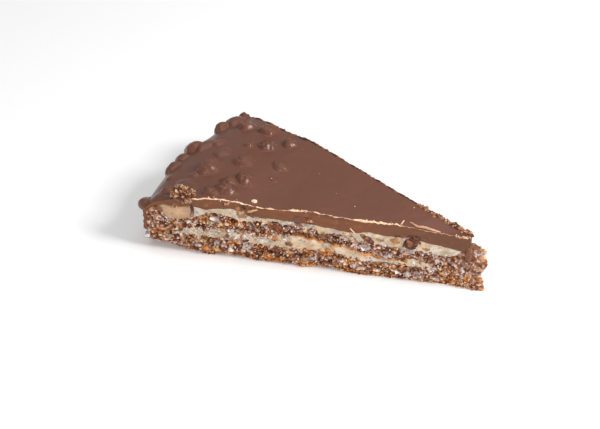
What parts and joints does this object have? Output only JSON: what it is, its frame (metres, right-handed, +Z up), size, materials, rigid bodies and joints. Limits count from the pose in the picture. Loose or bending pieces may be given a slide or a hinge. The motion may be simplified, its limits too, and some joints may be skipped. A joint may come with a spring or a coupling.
{
  "type": "slice of toffee tart",
  "caption": "Wedge-shaped slice of layered nut sponge and cream tart under a milk chocolate coat with toffee lumps near its round rim.",
  "frame": {"origin": "middle of the slice's box, on the flat base it lies on", "axes": "+Z up, +X towards the pointed tip, -X towards the round rim, -Y on the cut that shows the layers best"},
  "size_m": [0.1287, 0.0722, 0.0278],
  "materials": {
    "nut_sponge": "coarse crushed nut sponge, brown with pale, grey and golden specks",
    "cream": "smooth pale ivory cream",
    "milk_chocolate": "satin milk chocolate, matt and lighter where it is cut",
    "toffee": "broken toffee, brown and golden"
  },
  "bodies": {
    "root": {"lower_nut_layer": "nut_sponge", "lower_cream": "cream", "upper_nut_layer": "nut_sponge", "upper_cream": "cream", "chocolate_coat": "milk_chocolate", "toffee_nugget": "toffee", "toffee_ball": "toffee", "toffee_stick": "toffee", "toffee_shard": "toffee", "toffee_crumb": "toffee"}
  },
  "joints": []
}
